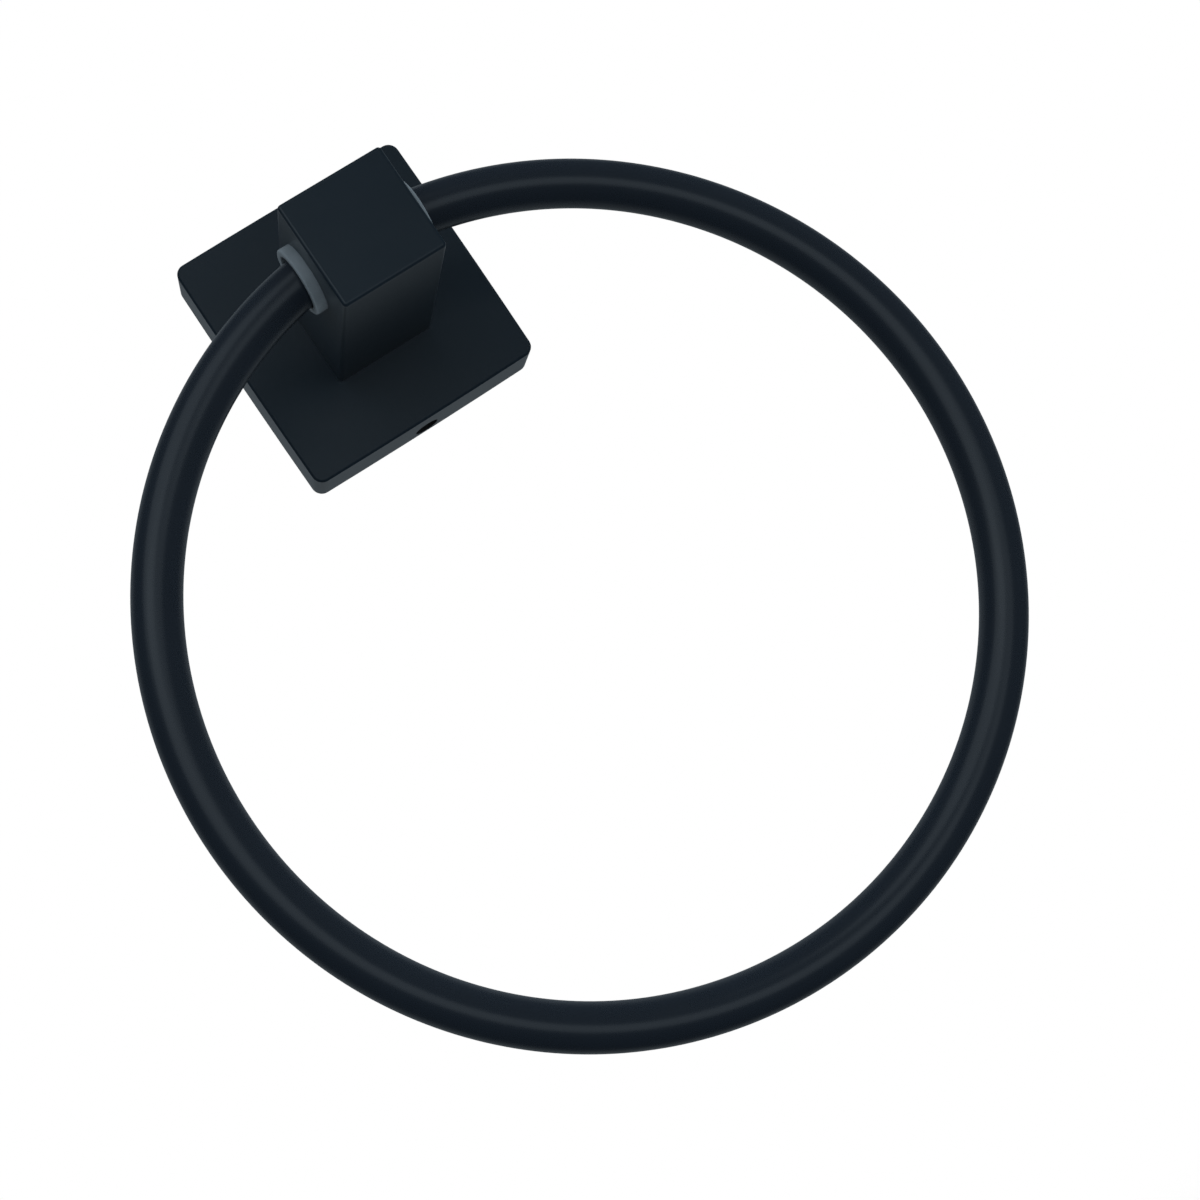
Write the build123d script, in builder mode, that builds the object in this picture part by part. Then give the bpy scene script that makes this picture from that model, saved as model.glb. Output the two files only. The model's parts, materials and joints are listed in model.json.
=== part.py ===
from build123d import *

import os
from math import asin, degrees, isclose, radians, sqrt, tan

# Towel ring for a wall: a round hoop that swings in the square post of a square rose.
# Millimetres, +Z up. The wall is the plane Y = 0, and the rose stands out from it towards -Y.
# The origin is the middle of the rose's back, on the wall.

# Hoop: a bar bent to a circle, with its two ends inside the post
hoop_outer_diameter = 160.0
bar_diameter = 9.0
bar_end_chamfer = 0.8
bar_end_clearance = 1.0

# Post
projection = 60.0
post_width = 21.2
post_edge_radius = 0.7
post_front_radius = 0.6
post_wall = 3.6
pivot_from_front = 13.5
pivot_rise = 1.0
socket_web = 5.0
core_web = 3.4
core_draft = 1.0

# Rose: a square plate with slightly bowed sides, hollow behind
rose_width = 50.9
rose_bow = 0.2
rose_depth = 11.0
rose_wall = 2.5
rose_corner_radius = 2.2
rose_front_chamfer = 0.4
cavity_corner_radius = 1.2

# Bushings that carry the bar in the post
bushing_bore = 10.3
bushing_wall = 0.85
bushing_lip = 0.6
bushing_flange_thickness = 2.2
bushing_sleeve_length = 4.0
bushing_edge_chamfer = 0.3
bushing_clearance = 0.05

# Wall bracket: a steel strip with flared edges, screwed to the wall
bracket_side_gap = 2.9
bracket_edge_gap = 6.1
bracket_thickness = 2.0
bracket_depth = 7.0
bracket_flare = 25.0
bracket_bend_radius = 1.0
bracket_corner_radius = 2.0
wall_screw_hole = 4.5
wall_screw_spacing = 22.0

# Hook and grub screw that hold the rose on the bracket
hook_width = 16.0
hook_from_wall = 0.5
seat_gap = 0.1
grub_diameter = 5.0
grub_length = 8.0
grub_point_diameter = 1.0
grub_point_length = 1.5
grub_key = 2.5
grub_key_depth = 3.0
grub_from_wall = 3.5
grub_clearance = 0.03
boss_width = 10.0
boss_gap = 0.3

# Places that the pieces share
post_half = post_width / 2
rose_half = rose_width / 2
rose_reach = rose_half + rose_bow
cavity_depth = rose_depth - rose_wall
cavity_reach = rose_reach - rose_wall
rim_middle = rose_reach - rose_wall / 2
sleeve_radius = bushing_bore / 2 + bushing_wall
flange_radius = sleeve_radius + bushing_lip
socket_radius = sleeve_radius + bushing_clearance
hoop_radius = (hoop_outer_diameter - bar_diameter) / 2
pivot_depth = projection - pivot_from_front

# The bar sags away from the top of its circle. The pivot runs through the middle of its sag in a bushing.
bushing_inner_x = post_half - bushing_sleeve_length
bushing_outer_x = post_half + bushing_flange_thickness
inner_sag = hoop_radius - sqrt(hoop_radius**2 - bushing_inner_x**2)
outer_sag = hoop_radius - sqrt(hoop_radius**2 - bushing_outer_x**2)
hoop_top = pivot_rise + (inner_sag + outer_sag) / 2
bar_end_x = socket_web / 2 + bar_end_clearance
gap_half_angle = degrees(asin(bar_end_x / hoop_radius))

# The bracket fills the rose's hollow, but for a gap at its sides and at the tips of its flared edges
bracket_width = 2 * (cavity_reach - bracket_side_gap)
bracket_tip = cavity_reach - bracket_edge_gap
bracket_foot = bracket_tip - bracket_depth * tan(radians(bracket_flare))


def bracket_face(depth):
    """Height above the middle of the flared edge's outer face, at a depth from the wall."""
    return bracket_foot + depth * tan(radians(bracket_flare))


def bowed_square(half, corner_radius):
    """Outline of the rose, or of the hollow behind it: a square with bowed sides and rounded corners."""
    corners = [(-half, -half), (half, -half), (half, half), (-half, half)]
    with BuildSketch() as outline:
        with BuildLine():
            for start, end in zip(corners, corners[1:] + corners[:1]):
                SagittaArc(start, end, -rose_bow)
        make_face()
        fillet(outline.vertices(), corner_radius)
    return outline.sketch


os.makedirs("parts", exist_ok=True)

# Rose and post, one casting
with BuildPart() as mounting_post:
    with BuildSketch(Plane.XZ):
        add(bowed_square(rose_half, rose_corner_radius))
    extrude(amount=rose_depth)
    chamfer(mounting_post.faces().sort_by(Axis.Y)[0].edges(), rose_front_chamfer)

    with BuildSketch(Plane.XZ.offset(rose_depth)):
        RectangleRounded(post_width, post_width, post_edge_radius)
    extrude(amount=projection - rose_depth)
    fillet(mounting_post.faces().sort_by(Axis.Y)[0].edges(), post_front_radius)

    # Hollow behind the rose, and the core that runs on into the post
    with BuildSketch(Plane.XZ):
        add(bowed_square(rose_half - rose_wall, cavity_corner_radius))
    extrude(amount=cavity_depth, mode=Mode.SUBTRACT)
    core_width = post_width - 2 * post_wall
    core_end = pivot_depth - socket_radius - core_web
    with BuildSketch(Plane.XZ.offset(cavity_depth)):
        Rectangle(core_width, core_width)
    extrude(amount=core_end - cavity_depth, taper=core_draft, mode=Mode.SUBTRACT)

    # Blind sockets for the bushings and the bar's ends, with a web between them
    for side in (-1, 1):
        with BuildSketch(Plane.YZ.offset(side * socket_web / 2)):
            with Locations((-pivot_depth, pivot_rise)):
                Circle(socket_radius)
        extrude(amount=side * (post_half - socket_web / 2), mode=Mode.SUBTRACT)

    # Hook at the top, behind the bracket's flared edge
    hook_front = bracket_depth - bracket_thickness
    with BuildSketch(Plane.YZ):
        with BuildLine():
            Polyline(
                (-hook_from_wall, rim_middle),
                (-hook_from_wall, bracket_face(hook_from_wall) + seat_gap),
                (-hook_front, bracket_face(hook_front) + seat_gap),
                (-hook_front, rim_middle),
                close=True,
            )
        make_face()
    extrude(amount=hook_width / 2, both=True)

    # Boss for the grub screw at the bottom
    boss_top = -bracket_tip - boss_gap
    with BuildSketch(Plane.XZ.offset(hook_from_wall)):
        with Locations((0, (boss_top - rim_middle) / 2)):
            Rectangle(boss_width, boss_top + rim_middle)
    extrude(amount=cavity_depth - hook_from_wall)

    # The screw's hole, up through the rim and the boss
    with BuildSketch(Plane.XY.offset(-rose_reach)):
        with Locations((0, -grub_from_wall)):
            Circle(grub_diameter / 2)
    extrude(amount=rose_reach + boss_top, mode=Mode.SUBTRACT)

mounting_post.part.label = "mounting_post"
export_step(mounting_post.part, "parts/mounting_post.step")

# Hoop
with BuildPart() as ring:
    with BuildLine(Plane.XZ.offset(pivot_depth)) as circle:
        CenterArc((0, hoop_top - hoop_radius), hoop_radius, 90 + gap_half_angle, 360 - 2 * gap_half_angle)
    with BuildSketch(circle.line ^ 0):
        Circle(bar_diameter / 2)
    sweep()
    chamfer(ring.edges().filter_by(GeomType.CIRCLE).group_by(Axis.Z)[-1], bar_end_chamfer)

ring.part.label = "ring"
export_step(ring.part, "parts/ring.step")

# Bushings, each a sleeve with a flange that lies on the post's side
for side, name in ((-1, "left_bushing"), (1, "right_bushing")):
    seat = Plane((side * post_half, -pivot_depth, pivot_rise), x_dir=(side, 0, 0), z_dir=(0, -side, 0))
    with BuildPart() as bushing:
        with BuildSketch(seat):
            with BuildLine():
                Polyline(
                    (-bushing_sleeve_length, bushing_bore / 2),
                    (bushing_flange_thickness, bushing_bore / 2),
                    (bushing_flange_thickness, flange_radius),
                    (0, flange_radius),
                    (0, sleeve_radius),
                    (-bushing_sleeve_length, sleeve_radius),
                    close=True,
                )
            make_face()
        revolve(axis=Axis(seat.origin, seat.x_dir))
        flange_face = bushing.faces().filter_by(GeomType.PLANE).sort_by(Axis.X)[-1 if side > 0 else 0]
        chamfer(flange_face.edges(), bushing_edge_chamfer)
    bushing.part.label = name
    export_step(bushing.part, f"parts/{name}.step")

# Wall bracket
with BuildPart() as wall_bracket:
    with BuildSketch(Plane.YZ):
        with BuildLine():
            FilletPolyline(
                (-bracket_depth, bracket_tip),
                (0, bracket_foot),
                (0, -bracket_foot),
                (-bracket_depth, -bracket_tip),
                radius=bracket_bend_radius + bracket_thickness,
            )
            offset(amount=bracket_thickness, side=Side.RIGHT)
        make_face()
    extrude(amount=bracket_width / 2, both=True)
    with Locations(Plane.XZ.offset(bracket_thickness)):
        with GridLocations(wall_screw_spacing, 1, 2, 1):
            Hole(wall_screw_hole / 2)
    corner_edges = wall_bracket.edges().filter_by(lambda edge: isclose(edge.length, bracket_thickness))
    fillet(corner_edges, bracket_corner_radius)

wall_bracket.part.label = "wall_bracket"
export_step(wall_bracket.part, "parts/wall_bracket.step")

# Grub screw, with a hexagon socket at its foot and a cone point against the bracket
grub_tip = -bracket_face(grub_from_wall + grub_point_diameter / 2) - seat_gap
with BuildPart() as set_screw:
    with BuildSketch(Plane.XY.offset(grub_tip - grub_length)):
        with Locations((0, -grub_from_wall)):
            Circle(grub_diameter / 2 - grub_clearance)
    extrude(amount=grub_length)
    chamfer(
        set_screw.edges().sort_by(Axis.Z)[-1],
        length=grub_point_length,
        length2=(grub_diameter - grub_point_diameter) / 2 - grub_clearance,
    )
    with BuildSketch(Plane.XY.offset(grub_tip - grub_length)):
        with Locations((0, -grub_from_wall)):
            RegularPolygon(grub_key / 2, 6, major_radius=False)
    extrude(amount=grub_key_depth, mode=Mode.SUBTRACT)

set_screw.part.label = "set_screw"
export_step(set_screw.part, "parts/set_screw.step")
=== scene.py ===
import json
import math

import bmesh
import bpy
from mathutils import Matrix, Vector


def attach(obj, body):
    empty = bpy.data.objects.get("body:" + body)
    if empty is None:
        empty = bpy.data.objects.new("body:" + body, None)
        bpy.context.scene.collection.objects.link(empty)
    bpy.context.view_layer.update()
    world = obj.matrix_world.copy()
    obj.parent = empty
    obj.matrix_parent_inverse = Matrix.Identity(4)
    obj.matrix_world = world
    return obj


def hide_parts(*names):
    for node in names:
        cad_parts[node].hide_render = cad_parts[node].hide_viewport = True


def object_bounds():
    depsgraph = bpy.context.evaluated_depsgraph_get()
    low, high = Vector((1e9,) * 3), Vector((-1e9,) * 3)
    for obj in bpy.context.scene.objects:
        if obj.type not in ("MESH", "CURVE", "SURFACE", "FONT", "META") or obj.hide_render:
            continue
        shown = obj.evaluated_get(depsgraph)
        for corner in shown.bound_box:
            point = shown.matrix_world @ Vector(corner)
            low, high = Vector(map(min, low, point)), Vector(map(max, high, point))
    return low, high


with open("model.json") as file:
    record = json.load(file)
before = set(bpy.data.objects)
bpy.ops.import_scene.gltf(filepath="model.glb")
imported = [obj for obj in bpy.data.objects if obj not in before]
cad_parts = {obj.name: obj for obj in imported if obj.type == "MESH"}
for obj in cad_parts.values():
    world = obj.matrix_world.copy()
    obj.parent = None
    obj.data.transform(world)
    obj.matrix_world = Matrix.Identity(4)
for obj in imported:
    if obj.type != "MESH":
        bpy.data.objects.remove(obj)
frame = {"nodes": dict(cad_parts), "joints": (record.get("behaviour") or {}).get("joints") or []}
cad_low, cad_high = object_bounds()

# Mounting post: a square rose and a square post in one zinc casting, linished flat and coated satin black.
# It is hollow behind, with a hook for the wall bracket at the top and a boss for the grub screw below.
# The casting's own solid has the right shape, so it stays and takes the finish.
POST_HALF = 0.0106
CAVITY_REACH = 0.02315
CAVITY_SIDE_FADE = 0.0003
CAVITY_DEPTH = 0.0085
CAVITY_END_FADE = 0.0008
CORE_HALF = 0.0070
CORE_SIDE_FADE = 0.0008
CORE_DEPTH = 0.0370
CORE_END_FADE = 0.0010
HOLE_RADIUS = 0.0025
HOLE_SIDE_FADE = 0.00015
HOLE_FROM_WALL = 0.0035
HOLE_TOP = -0.01745
HOLE_TOP_FADE = 0.0002
GRAIN_HEIGHT = 0.0000025
PEEL_HEIGHT = 0.000006
SAND_HEIGHT = 0.00003
COAT_DARKER = (0.0040, 0.0090, 0.0140)
COAT_LIGHTER = (0.0052, 0.0116, 0.0181)
COAT_ROUGHNESS = 0.28
ZINC_DARKER = (0.13, 0.14, 0.15)
ZINC_LIGHTER = (0.21, 0.22, 0.23)
# Painted shade: a near-black colour for the threaded hole's wall that stands in for the shade deep inside the
# hole.
HOLE_PAINTED_SHADE = (0.0035, 0.0042, 0.0048)
INSIDE_DULLER_BY = 0.3
BARE_AT_LEAST = 0.38


class Signal:
    """A value at a shader socket. Arithmetic on it adds Math nodes to the same material."""

    def __init__(self, socket):
        self.socket = socket

    def node(self, kind, settings, inputs, output=0):
        """Adds a node with these settings and these values or links at its sockets."""
        tree = self.socket.id_data
        made = tree.nodes.new(kind)
        for name, value in settings.items():
            setattr(made, name, value)
        for name, value in inputs.items():
            if isinstance(value, Signal):
                tree.links.new(value.socket, made.inputs[name])
            else:
                made.inputs[name].default_value = value
        return Signal(made.outputs[output])

    def calculate(self, operation, other=0.0, swap=False):
        first, second = (other, self) if swap else (self, other)
        return self.node("ShaderNodeMath", {"operation": operation}, {0: first, 1: second})

    def __add__(self, other):
        return self.calculate("ADD", other)

    def __radd__(self, other):
        return self.calculate("ADD", other)

    def __sub__(self, other):
        return self.calculate("SUBTRACT", other)

    def __rsub__(self, other):
        return self.calculate("SUBTRACT", other, swap=True)

    def __mul__(self, other):
        return self.calculate("MULTIPLY", other)

    def __rmul__(self, other):
        return self.calculate("MULTIPLY", other)

    def __abs__(self):
        return self.calculate("ABSOLUTE")

    def most(self, other):
        return self.calculate("MAXIMUM", other)

    def hypot(self, other):
        return (self * self + other * other).calculate("SQRT")

    def rise(self, start, end):
        """0 up to start and 1 from end on, with a smooth step between; end may be the smaller one."""
        return self.node(
            "ShaderNodeMapRange",
            {"interpolation_type": "SMOOTHSTEP"},
            {"Value": self, "From Min": start, "From Max": end},
        )

    def within(self, limit, fade):
        """1 up to a limit and 0 past it, with a smooth step as wide as the fade."""
        return self.rise(limit + fade, limit)

    def noise(self, scale, detail=2.0, roughness=0.5):
        return self.node(
            "ShaderNodeTexNoise",
            {},
            {"Vector": self, "Scale": scale, "Detail": detail, "Roughness": roughness},
        )

    def moved(self, by=(0.0, 0.0, 0.0), scale=(1.0, 1.0, 1.0)):
        return self.node("ShaderNodeMapping", {}, {"Vector": self, "Location": by, "Scale": scale})

    def mix(self, first, second):
        """The colour between two colours, with this value as the share of the second."""
        # Sockets 6 and 7 are the Mix node's two colours, and output 2 is the mixed colour.
        ends = {6: first, 7: second}
        for index, end in ends.items():
            if not isinstance(end, Signal):
                ends[index] = (*end, 1.0)
        return self.node("ShaderNodeMix", {"data_type": "RGBA"}, {0: self, **ends}, output=2)

    def bump(self, distance, under=None):
        """A surface normal that stands up and down by this height times a distance in metres."""
        inputs = {"Height": self, "Distance": distance}
        if under is not None:
            inputs["Normal"] = under
        return self.node("ShaderNodeBump", {}, inputs)

    def axes(self):
        parts = self.node("ShaderNodeSeparateXYZ", {}, {"Vector": self}).socket.node
        return [Signal(part) for part in parts.outputs]

    def feeds(self, shader, name):
        self.socket.id_data.links.new(self.socket, shader.inputs[name])


def new_finish(name):
    """A new material, its shader, and the place on the piece that its patterns follow."""
    material = bpy.data.materials.new(name)
    material.use_nodes = True
    shader = material.node_tree.nodes["Principled BSDF"]
    place = Signal(shader.outputs[0]).node("ShaderNodeTexCoord", {}, {}, output="Object")
    return material, shader, place


def satin_black(place, darker, lighter, roughness):
    """Baked satin coat: a faint orange peel, fine grain and slow changes of tone and sheen."""
    tone = place.noise(scale=55.0, detail=3.0)
    grain = place.noise(scale=5200.0, detail=1.0)
    peel = place.noise(scale=950.0)
    smudge = place.noise(scale=140.0, detail=4.0, roughness=0.6)
    colour = (tone * 0.75 + grain * 0.25).mix(darker, lighter)
    sheen = roughness + smudge.rise(0.35, 0.75) * 0.02 + grain * 0.03
    normal = grain.bump(GRAIN_HEIGHT, under=peel.bump(PEEL_HEIGHT))
    return colour, sheen, normal


casting, shader, place = new_finish("satin_black_casting")
colour, sheen, normal = satin_black(place, COAT_DARKER, COAT_LIGHTER, COAT_ROUGHNESS)
across, depth, height = place.axes()
from_wall = 0.0 - depth
from_middle = abs(across).most(abs(height))
in_rose = from_middle.within(CAVITY_REACH, CAVITY_SIDE_FADE) * from_wall.within(CAVITY_DEPTH, CAVITY_END_FADE)
in_post = from_middle.within(CORE_HALF, CORE_SIDE_FADE) * from_wall.within(CORE_DEPTH, CORE_END_FADE)
hollow = in_rose.most(in_post)
from_hole = across.hypot(from_wall - HOLE_FROM_WALL)
in_hole = from_hole.within(HOLE_RADIUS, HOLE_SIDE_FADE) * height.within(HOLE_TOP, HOLE_TOP_FADE)
thin_spots = place.noise(scale=210.0, detail=4.0, roughness=0.62).rise(0.36, 0.68)
sand = place.noise(scale=2600.0, detail=3.0)
bare = hollow * (BARE_AT_LEAST + thin_spots * 0.28) * (1.0 - in_hole)
inside_colour = bare.mix(colour, sand.mix(ZINC_DARKER, ZINC_LIGHTER))
# Painted shade: the threaded hole's wall is coloured near black, darker than the coat, in place of the shade
# inside the hole.
in_hole.mix(inside_colour, HOLE_PAINTED_SHADE).feeds(shader, "Base Color")
(sheen + hollow.most(in_hole) * INSIDE_DULLER_BY).feeds(shader, "Roughness")
(sand * hollow).bump(SAND_HEIGHT, under=normal).feeds(shader, "Normal")
frame["nodes"]["mounting_post"].material_slots[0].material = casting

# Bushings: two moulded grey nylon sleeves, pressed into the post's sides from outside.
# Each has a flange that lies on the post and a bore in which the bar turns with a little play.
PIVOT = Vector(frame["joints"][0]["pos_m"])
BORE_RADIUS = 0.00515
SLEEVE_RADIUS = 0.0060
SLEEVE_LENGTH = 0.0040
FLANGE_RADIUS = 0.0066
FLANGE_THICKNESS = 0.0022
LIP_ROUNDING = 0.0004
LIP_STEPS = 5
MOUTH_ROUNDING = 0.0003
MOUTH_STEPS = 3
BUSHING_STEPS = 96
SAME_PLACE = 1e-6
CREASE = math.radians(35.0)
NYLON_DARKER = (0.105, 0.120, 0.130)
NYLON_LIGHTER = (0.155, 0.172, 0.185)
NYLON_ROUGHNESS = 0.42
SWIRL_HEIGHT = 0.00002
PORE_HEIGHT = 0.000004

nylon, shader, place = new_finish("grey_nylon")
swirl = place.noise(scale=420.0, detail=4.0, roughness=0.6)
pores = place.noise(scale=4200.0, detail=1.0)
swirl.mix(NYLON_DARKER, NYLON_LIGHTER).feeds(shader, "Base Color")
(NYLON_ROUGHNESS + swirl * 0.14).feeds(shader, "Roughness")
pores.bump(PORE_HEIGHT, under=swirl.bump(SWIRL_HEIGHT)).feeds(shader, "Normal")


def on_circle(edge, across, radius):
    """Whether an edge lies on a circle round the pivot's axis, at this place across the post."""
    arms = [vert.co - PIVOT for vert in edge.verts]
    return all(abs(arm.x - across) < SAME_PLACE and abs(arm.yz.length - radius) < SAME_PLACE for arm in arms)


def finish_mesh(name, shape):
    """Turns a finished bmesh into an object at the origin, smooth but for edges sharper than the crease."""
    for face in shape.faces:
        face.smooth = True
    for edge in shape.edges:
        edge.smooth = len(edge.link_faces) == 2 and edge.calc_face_angle() < CREASE
    mesh = bpy.data.meshes.new(name)
    shape.to_mesh(mesh)
    shape.free()
    piece = bpy.data.objects.new(name, mesh)
    bpy.context.scene.collection.objects.link(piece)
    return piece


section = [
    (-SLEEVE_LENGTH, BORE_RADIUS),
    (FLANGE_THICKNESS, BORE_RADIUS),
    (FLANGE_THICKNESS, FLANGE_RADIUS),
    (0.0, FLANGE_RADIUS),
    (0.0, SLEEVE_RADIUS),
    (-SLEEVE_LENGTH, SLEEVE_RADIUS),
]
roundings = [(FLANGE_RADIUS, LIP_ROUNDING, LIP_STEPS), (BORE_RADIUS, MOUTH_ROUNDING, MOUTH_STEPS)]
for side, name in ((-1, "left_bushing"), (1, "right_bushing")):
    sleeve = bmesh.new()
    corners = []
    for out, radius in section:
        corners.append(sleeve.verts.new(PIVOT + Vector((side * (POST_HALF + out), 0.0, radius))))
    for first, second in zip(corners, corners[1:] + corners[:1]):
        sleeve.edges.new((first, second))
    bmesh.ops.spin(
        sleeve, geom=sleeve.verts[:] + sleeve.edges[:], cent=PIVOT, axis=(1.0, 0.0, 0.0),
        angle=math.tau, steps=BUSHING_STEPS, use_merge=True,
    )
    bmesh.ops.recalc_face_normals(sleeve, faces=sleeve.faces[:])
    flange_face = side * (POST_HALF + FLANGE_THICKNESS)
    for radius, rounding, steps in roundings:
        rim = [edge for edge in sleeve.edges if on_circle(edge, flange_face, radius)]
        bmesh.ops.bevel(
            sleeve, geom=rim, offset=rounding, affect="EDGES", segments=steps, profile=0.5, material=-1,
        )
    bushing = finish_mesh(f"{name}_moulding", sleeve)
    bushing.data.materials.append(nylon)
    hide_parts(name)
    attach(bushing, "mount")

# Ring: a round bar bent to a circle and coated like the casting.
# It is sprung open so that its two chamfered ends snap into the post's sockets through the bushings.
BAR_RADIUS = 0.004465
HOOP_RADIUS = 0.0755
BAR_END = 0.0035
END_CHAMFER = 0.0008
HOOP_STEPS = 288
BAR_SIDES = 56
BAR_DARKER = (0.0065, 0.0096, 0.0146)
BAR_LIGHTER = (0.0085, 0.0126, 0.0188)
BAR_ROUGHNESS = 0.255
PATTERN_SHIFT = (0.31, 0.17, 0.23)


def sag(reach):
    """How far the hoop has dropped from its top at this distance from its middle plane."""
    return HOOP_RADIUS - math.sqrt(HOOP_RADIUS**2 - reach**2)


half_gap = math.asin(BAR_END / HOOP_RADIUS)
hoop_top = PIVOT.z + (sag(POST_HALF - SLEEVE_LENGTH) + sag(POST_HALF + FLANGE_THICKNESS)) / 2
hoop_centre = Vector((0.0, PIVOT.y, hoop_top - HOOP_RADIUS))
bar = bmesh.new()
bmesh.ops.create_circle(bar, cap_ends=False, segments=BAR_SIDES, radius=BAR_RADIUS)
bmesh.ops.rotate(bar, verts=bar.verts[:], cent=(0.0, 0.0, 0.0), matrix=Matrix.Rotation(math.pi / 2, 3, "Y"))
bmesh.ops.translate(bar, verts=bar.verts[:], vec=hoop_centre + Vector((0.0, 0.0, HOOP_RADIUS)))
bmesh.ops.rotate(bar, verts=bar.verts[:], cent=hoop_centre, matrix=Matrix.Rotation(half_gap, 3, "Y"))
bmesh.ops.spin(
    bar, geom=bar.verts[:] + bar.edges[:], cent=hoop_centre, axis=(0.0, 1.0, 0.0),
    angle=math.tau - 2 * half_gap, steps=HOOP_STEPS, use_merge=False,
)
open_edges = [edge for edge in bar.edges if len(edge.link_faces) == 1]
bmesh.ops.holes_fill(bar, edges=open_edges, sides=0)
bmesh.ops.recalc_face_normals(bar, faces=bar.faces[:])
bmesh.ops.bevel(
    bar, geom=open_edges, offset=END_CHAMFER, affect="EDGES", segments=1, profile=0.5, material=-1,
)
ring = finish_mesh("ring_bar", bar)
coat, shader, place = new_finish("satin_black_bar")
colour, sheen, normal = satin_black(place.moved(by=PATTERN_SHIFT), BAR_DARKER, BAR_LIGHTER, BAR_ROUGHNESS)
colour.feeds(shader, "Base Color")
sheen.feeds(shader, "Roughness")
normal.feeds(shader, "Normal")
ring.data.materials.append(coat)
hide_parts("ring")
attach(ring, "ring")

# Wall bracket: a strip of zinc-plated steel with flared edges, screwed to the wall through two holes.
# The rose hangs on its upper edge, and the grub screw presses on the lower one.
PLATE_DARKER = (0.44, 0.45, 0.46)
PLATE_LIGHTER = (0.74, 0.73, 0.69)
PLATE_ROUGHNESS = 0.24
ROLLING_SCALE = (14.0, 900.0, 900.0)
ROLLING_HEIGHT = 0.00001

plate, shader, place = new_finish("zinc_plated_strip")
rolling = place.moved(scale=ROLLING_SCALE).noise(scale=1.0, detail=3.0)
bloom = place.noise(scale=160.0, detail=3.0)
(bloom * 0.55 + rolling * 0.45).mix(PLATE_DARKER, PLATE_LIGHTER).feeds(shader, "Base Color")
(PLATE_ROUGHNESS + rolling * 0.18 + bloom * 0.08).feeds(shader, "Roughness")
rolling.bump(ROLLING_HEIGHT).feeds(shader, "Normal")
shader.inputs["Metallic"].default_value = 1.0
frame["nodes"]["wall_bracket"].material_slots[0].material = plate

# Grub screw: a short stainless steel screw with a cone point, a rolled thread and a hexagon socket for a key.
# It sits in the threaded boss under the bracket, and its point presses on the bracket's lower flared edge.
SCREW_RADIUS = 0.00246
SCREW_TIP = -0.01575
SCREW_LENGTH = 0.0080
POINT_RADIUS = 0.0005
POINT_LENGTH = 0.0015
THREAD_PITCH = 0.0008
THREAD_DEPTH = 0.00045
FLANK_STEEPNESS = 1.15
KEY_SIDES = 6
KEY_WIDTH = 0.0025
KEY_DEPTH = 0.0030
KEY_DRILL_POINT = 0.0004
FOOT_CHAMFER = 0.0004
ROWS_PER_PITCH = 8
SCREW_STEPS = 72
STEEL_DARKER = (0.42, 0.42, 0.41)
STEEL_LIGHTER = (0.52, 0.51, 0.49)
STEEL_ROUGHNESS = 0.26

screw_axis = Vector((0.0, -HOLE_FROM_WALL, 0.0))
screw_foot = SCREW_TIP - SCREW_LENGTH
row = THREAD_PITCH / ROWS_PER_PITCH
section = [(0.0, SCREW_TIP), (POINT_RADIUS, SCREW_TIP)]
for count in range(1, round((SCREW_LENGTH - FOOT_CHAMFER) / row)):
    down = count * row
    cone = POINT_RADIUS + (SCREW_RADIUS - POINT_RADIUS) * down / POINT_LENGTH
    section.append((min(cone, SCREW_RADIUS), SCREW_TIP - down))
section += [
    (SCREW_RADIUS - FOOT_CHAMFER, screw_foot),
    (KEY_WIDTH / 2, screw_foot),
    (KEY_WIDTH / 2, screw_foot + KEY_DEPTH),
    (0.0, screw_foot + KEY_DEPTH + KEY_DRILL_POINT),
]

screw_shape = bmesh.new()
points = [screw_shape.verts.new(screw_axis + Vector((radius, 0.0, level))) for radius, level in section]
for first, second in zip(points, points[1:]):
    screw_shape.edges.new((first, second))
bmesh.ops.spin(
    screw_shape, geom=screw_shape.verts[:] + screw_shape.edges[:], cent=screw_axis, axis=(0.0, 0.0, 1.0),
    angle=math.tau, steps=SCREW_STEPS, use_merge=True,
)
bmesh.ops.remove_doubles(screw_shape, verts=screw_shape.verts[:], dist=SAME_PLACE)
half_side = math.pi / KEY_SIDES
for vert in screw_shape.verts:
    arm = (vert.co - screw_axis).xy
    if arm.length < SAME_PLACE:
        continue
    turn = math.atan2(arm.y, arm.x)
    if abs(arm.length - KEY_WIDTH / 2) < SAME_PLACE:
        from_flat = (turn + half_side) % (2 * half_side) - half_side
        arm /= math.cos(from_flat)
    elif vert.co.z > screw_foot + FOOT_CHAMFER / 2:
        groove = abs((vert.co.z / THREAD_PITCH - turn / math.tau) % 1.0 - 0.5) * 2
        thread = SCREW_RADIUS - THREAD_DEPTH * min(1.0, groove * FLANK_STEEPNESS)
        arm *= min(1.0, thread / arm.length)
    vert.co.xy = screw_axis.xy + arm
bmesh.ops.recalc_face_normals(screw_shape, faces=screw_shape.faces[:])
screw = finish_mesh("set_screw_thread", screw_shape)
stainless, shader, place = new_finish("stainless_steel")
film = place.noise(scale=700.0, detail=3.0)
film.mix(STEEL_DARKER, STEEL_LIGHTER).feeds(shader, "Base Color")
(STEEL_ROUGHNESS + film * 0.16).feeds(shader, "Roughness")
shader.inputs["Metallic"].default_value = 1.0
screw.data.materials.append(stainless)
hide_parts("set_screw")
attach(screw, "mount")

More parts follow.
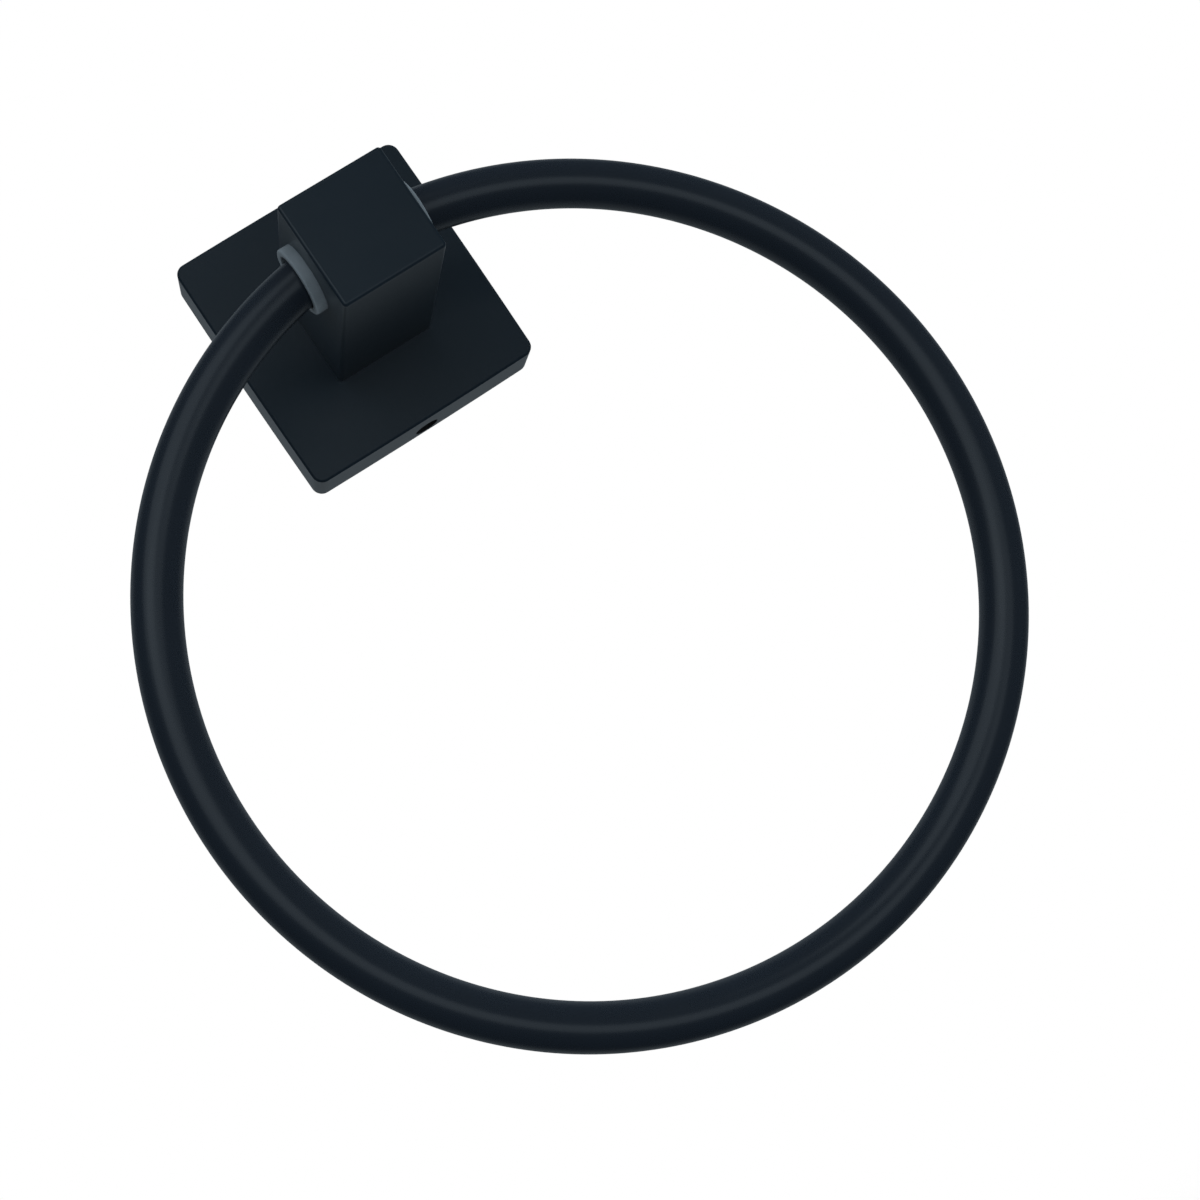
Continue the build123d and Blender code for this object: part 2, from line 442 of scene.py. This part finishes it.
# Studio: a pale floor well below, a white room, a soft box high on the left and a wide one near the camera.
# What the coat mirrors of the room is dim, as round a black object, so that flat faces keep their depth.
# The diffuse light leans to the right, to the wall and to the ceiling, as it does in the photograph.
FLOOR_HEIGHT = -0.6
FLOOR_RADIUS = 1.1
FLOOR_FADES_FROM = FLOOR_RADIUS / 2
FLOOR_SIDES = 96
FLOOR_COLOUR = (0.80, 0.70, 0.64, 1.0)
FLOOR_ROUGHNESS = 0.9

floor_shape = bmesh.new()
bmesh.ops.create_circle(floor_shape, cap_ends=True, segments=FLOOR_SIDES, radius=FLOOR_RADIUS)
bmesh.ops.translate(floor_shape, verts=floor_shape.verts[:], vec=(0.0, 0.0, FLOOR_HEIGHT))
floor = finish_mesh("floor", floor_shape)
paper, shader, place = new_finish("pale_floor")
shader.inputs["Roughness"].default_value = FLOOR_ROUGHNESS
shader.inputs["Base Color"].default_value = FLOOR_COLOUR
across, depth, height = place.axes()
across.hypot(depth).rise(FLOOR_RADIUS, FLOOR_FADES_FROM).feeds(shader, "Alpha")
floor.data.materials.append(paper)
floor.visible_glossy = False
floor.visible_diffuse = False

CAMERA_PLACE = Vector((-0.07191, -0.39064, -0.09306))
CAMERA_LOOK = Vector((0.2048, 0.9776, 0.0493)).normalized()
CAMERA_UP = Vector((0.5440, -0.1555, 0.8246))
FOCAL_LENGTH_IN_PIXELS = 1991.1
FRAME_IN_PIXELS = 1200.0

camera_right = CAMERA_LOOK.cross(CAMERA_UP).normalized()
camera_up = camera_right.cross(CAMERA_LOOK)
facing = Matrix((camera_right, camera_up, -CAMERA_LOOK)).transposed().to_4x4()
lens = bpy.data.cameras.new("camera")
lens.lens = FOCAL_LENGTH_IN_PIXELS / FRAME_IN_PIXELS * lens.sensor_width
camera = bpy.data.objects.new("camera", lens)
camera.matrix_world = Matrix.Translation(CAMERA_PLACE) @ facing
bpy.context.scene.collection.objects.link(camera)
bpy.context.scene.camera = camera

LIGHT_TINT = (0.86, 1.0, 1.10)
WHITE = (1.0, 1.0, 1.0)
MIRRORED_IN_FRONT = 0.03
MIRRORED_BEHIND = 0.20
BEHIND_FROM = 0.15
BEHIND_FULLY = 0.7
AMBIENT_LEAN = Vector((0.465, 0.206, 0.224))

room = bpy.data.worlds.new("studio_room")
room.use_nodes = True
bpy.context.scene.world = room
sky = room.node_tree.nodes["Background"]
start = Signal(sky.outputs[0])
path = start.node("ShaderNodeLightPath", {}, {}).socket.node
seen = Signal(path.outputs["Is Camera Ray"])
mirrored = Signal(path.outputs["Is Glossy Ray"]).most(Signal(path.outputs["Is Transmission Ray"]))
toward = start.node("ShaderNodeTexCoord", {}, {}, output="Generated")
behind = toward.axes()[1].rise(BEHIND_FROM, BEHIND_FULLY)
reflected = MIRRORED_IN_FRONT + behind * (MIRRORED_BEHIND - MIRRORED_IN_FRONT)
ambient = 1.0 + toward.node(
    "ShaderNodeVectorMath", {"operation": "DOT_PRODUCT"}, {0: toward, 1: AMBIENT_LEAN}, output="Value",
)
(seen + (1.0 - seen) * (mirrored * reflected + (1.0 - mirrored) * ambient)).feeds(sky, "Strength")
seen.mix(LIGHT_TINT, WHITE).feeds(sky, "Color")

SOFT_BOX_DISTANCE = 4.0
SOFT_BOXES = {
    "high_soft_box": {"right": -26.0, "up": 33.0, "half_width": 23.5, "half_height": 19.0, "radiance": 0.53},
    "low_soft_box": {"right": 0.1, "up": 5.2, "half_width": 34.0, "half_height": 15.5, "radiance": 0.52},
}

part_middle = Matrix.Translation((cad_low + cad_high) / 2)
out_there = Matrix.Translation((0.0, 0.0, SOFT_BOX_DISTANCE))
for name, box in SOFT_BOXES.items():
    lamp = bpy.data.lights.new(name, "AREA")
    lamp.shape = "RECTANGLE"
    lamp.size = 2 * SOFT_BOX_DISTANCE * math.tan(math.radians(box["half_width"]))
    lamp.size_y = 2 * SOFT_BOX_DISTANCE * math.tan(math.radians(box["half_height"]))
    lamp.energy = box["radiance"] * math.pi * lamp.size * lamp.size_y
    lamp.color = LIGHT_TINT
    soft_box = bpy.data.objects.new(name, lamp)
    upward = Matrix.Rotation(math.radians(-box["up"]), 4, "X")
    sideways = Matrix.Rotation(math.radians(box["right"]), 4, "Y")
    soft_box.matrix_world = part_middle @ facing @ upward @ sideways @ out_there
    soft_box.visible_camera = False
    bpy.context.scene.collection.objects.link(soft_box)

bpy.context.scene.view_settings.view_transform = "Standard"
